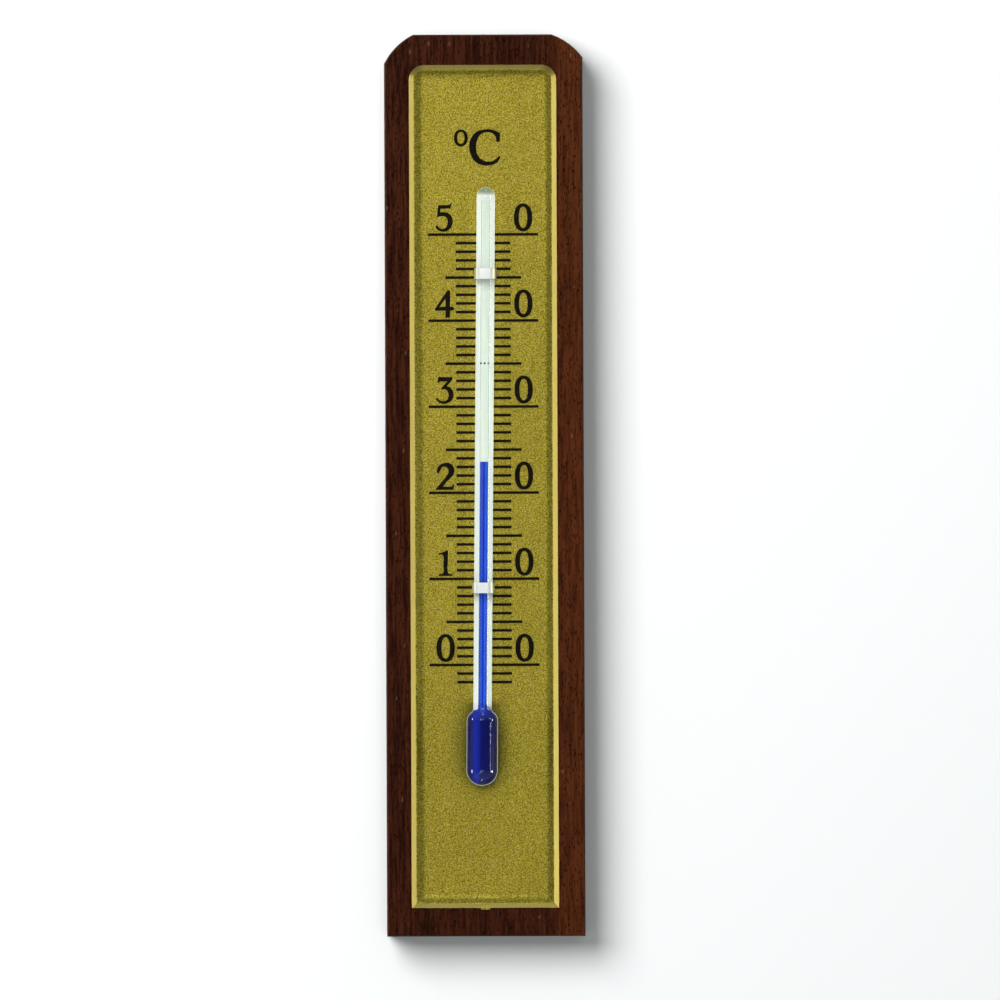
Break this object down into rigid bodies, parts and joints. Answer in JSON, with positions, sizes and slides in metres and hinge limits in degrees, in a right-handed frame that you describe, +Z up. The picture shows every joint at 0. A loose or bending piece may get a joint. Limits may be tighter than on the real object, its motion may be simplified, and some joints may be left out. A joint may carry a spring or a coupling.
{
  "type": "wall thermometer",
  "caption": "Slim upright wall thermometer: blue spirit in a glass tube on a pressed gold scale plate in a dark wooden backboard with clipped top corners.",
  "frame": {"origin": "centre of the mouth of the blind hanging hole, in the board's back face", "axes": "+Z up along the board and the scale, +Y out of the back towards the wall, so the scale faces -Y, +X to the right of someone who reads it"},
  "size_m": [0.0396, 0.0173, 0.18],
  "materials": {
    "walnut": "satin dark reddish brown, fine upright grain",
    "foam_tape": "off-white adhesive foam",
    "anodised_gold": "matt gold anodised, fine sparkle",
    "black_ink": "matt black print",
    "clear_glass": "clear",
    "white_enamel": "opaque white",
    "blue_spirit": "deep blue dyed liquid",
    "bright_steel": "polished bright metal strip"
  },
  "bodies": {
    "root": {"backboard": "walnut", "adhesive_pads": "foam_tape", "scale_plate": "anodised_gold", "graduation_lines": "black_ink", "glass_tube": "clear_glass", "enamel_stripe": "white_enamel", "spirit_reservoir": "blue_spirit", "spirit_column": "blue_spirit", "setting_mark": "black_ink", "upper_clip": "bright_steel", "lower_clip": "bright_steel"},
    "thread": {"spirit_head": "blue_spirit"}
  },
  "joints": [
    {"name": "spirit_level", "type": "slide", "parent": "root", "child": "thread", "axis": [0.0101, 0.0123, 0.9999], "range_m": [-0.04396, 0.04533], "deforming": ["spirit_column"]}
  ]
}
